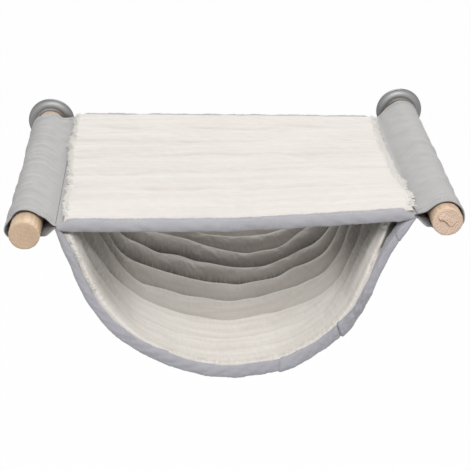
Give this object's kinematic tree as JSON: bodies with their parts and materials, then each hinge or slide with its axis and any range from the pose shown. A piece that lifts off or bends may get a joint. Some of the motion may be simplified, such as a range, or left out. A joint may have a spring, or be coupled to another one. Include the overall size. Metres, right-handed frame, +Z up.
{
  "type": "wall-mounted cat cave bed",
  "caption": "Padded fabric cover slid over two wooden poles on wall dishes: a flat plush lounge on top and a deep U-shaped plush cave below it, open in front and behind.",
  "frame": {"origin": "on the wall, halfway between the two poles' axes", "axes": "+X along the wall to the right as seen from the room, +Y into the wall, +Z up; the bed reaches out along -Y"},
  "size_m": [0.538, 0.396, 0.2435],
  "materials": {
    "pine": "sanded, bare",
    "spun_steel": "spun, satin",
    "zinc_steel": "zinc plated",
    "suede": "grey woven, suede-like",
    "plush": "cream, short pile",
    "wadding": "loose white fibre"
  },
  "bodies": {
    "frame": {"left_pole": "pine", "right_pole": "pine", "left_thread_insert": "zinc_steel", "right_thread_insert": "zinc_steel", "left_stud": "zinc_steel", "right_stud": "zinc_steel", "left_lock_nut": "zinc_steel", "right_lock_nut": "zinc_steel", "left_wall_dish": "spun_steel", "right_wall_dish": "spun_steel", "left_wall_plate": "zinc_steel", "right_wall_plate": "zinc_steel", "left_wall_screw_1": "zinc_steel", "left_wall_screw_2": "zinc_steel", "left_wall_screw_3": "zinc_steel", "right_wall_screw_1": "zinc_steel", "right_wall_screw_2": "zinc_steel", "right_wall_screw_3": "zinc_steel"},
    "cover": {"left_sleeve": "suede", "right_sleeve": "suede", "panel_base_cloth": "suede", "panel_wadding": "wadding", "panel_fleece": "plush", "panel_front_binding": "suede", "panel_rear_binding": "suede", "sling_shell": "suede", "sling_wadding": "wadding", "sling_lining": "plush", "sling_front_binding": "suede", "sling_rear_binding": "suede"}
  },
  "joints": [
    {"name": "cover_slide", "type": "slide", "parent": "frame", "child": "cover", "axis": [0, -1, 0], "range_m": [0, 0.36]}
  ]
}
